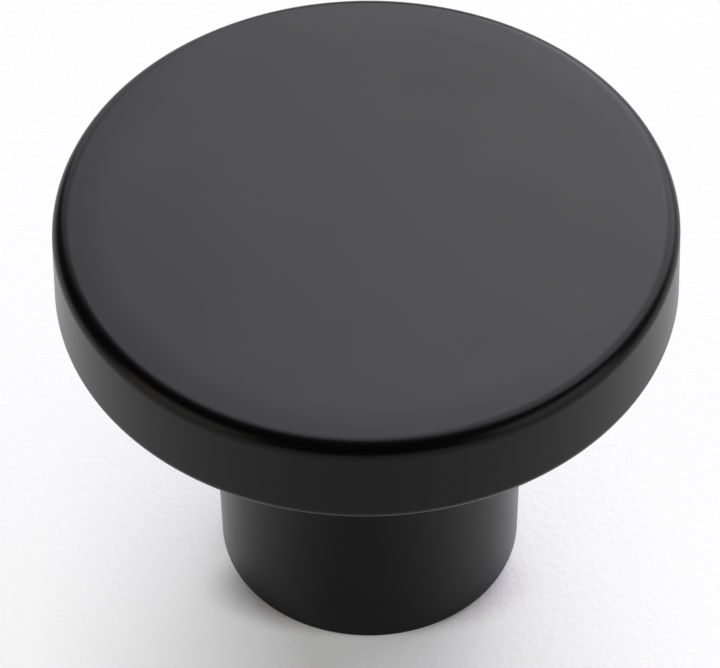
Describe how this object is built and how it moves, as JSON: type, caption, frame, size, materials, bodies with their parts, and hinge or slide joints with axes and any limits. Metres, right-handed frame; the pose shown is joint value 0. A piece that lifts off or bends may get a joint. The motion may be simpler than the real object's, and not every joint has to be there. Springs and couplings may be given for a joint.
{
  "type": "cabinet knob",
  "caption": "Round flat-topped cabinet knob: a thin disc head with softened edges on a plain cylindrical stem, matte black, with a blind threaded screw hole in its foot.",
  "frame": {"origin": "centre of the foot's flat face, on the knob's axis, where the knob meets the door or drawer front", "axes": "+Z along the knob's axis, from the foot out through the head; the knob is round, so +X and +Y are any two directions across it"},
  "size_m": [0.0302, 0.0302, 0.023],
  "materials": {
    "black_coated_zinc": "matte"
  },
  "bodies": {
    "root": {"knob": "black_coated_zinc"}
  },
  "joints": []
}
